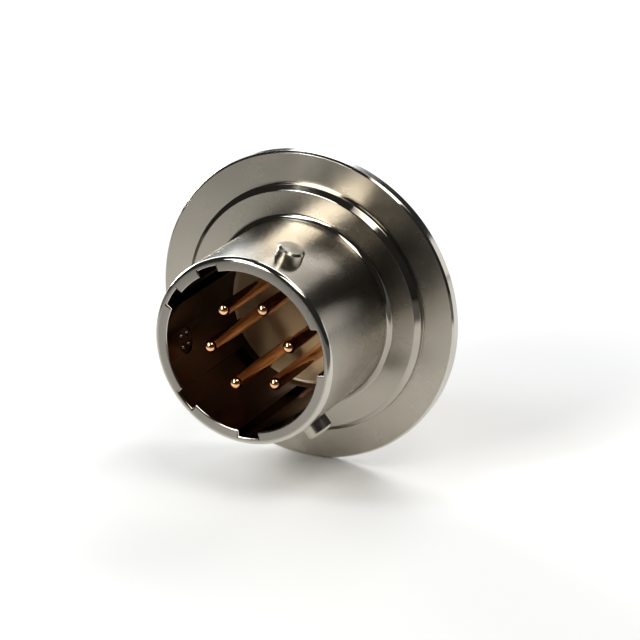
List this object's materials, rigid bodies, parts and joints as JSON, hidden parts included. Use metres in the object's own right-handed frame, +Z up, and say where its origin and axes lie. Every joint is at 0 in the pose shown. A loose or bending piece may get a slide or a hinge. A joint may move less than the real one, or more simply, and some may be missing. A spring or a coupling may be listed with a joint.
{
  "type": "panel mount connector",
  "caption": "Round panel receptacle with a stepped flange, keyed barrel with bayonet studs, and gold pins sealed in glass with solder cups behind.",
  "frame": {"origin": "on the connector's axis, in the plane of the flange's front ring, which is the panel seat", "axes": "-Y out of the mating face, +Y towards the solder cups, +Z up as in the picture; the master keyway is 9.5 degrees above +X"},
  "size_m": [0.0254, 0.018, 0.0254],
  "materials": {
    "shell_nickel": "nickel plated, turned, satin",
    "stud_nickel": "nickel plated, satin",
    "seal_glass": "opaque khaki seal glass, smooth",
    "contact_gold": "gold plated, polished"
  },
  "bodies": {
    "root": {"shell": "shell_nickel", "bayonet_stud_1": "stud_nickel", "bayonet_stud_2": "stud_nickel", "bayonet_stud_3": "stud_nickel", "glass_seal": "seal_glass", "contact_1": "contact_gold", "contact_2": "contact_gold", "contact_3": "contact_gold", "contact_4": "contact_gold", "contact_5": "contact_gold", "contact_6": "contact_gold"}
  },
  "joints": []
}
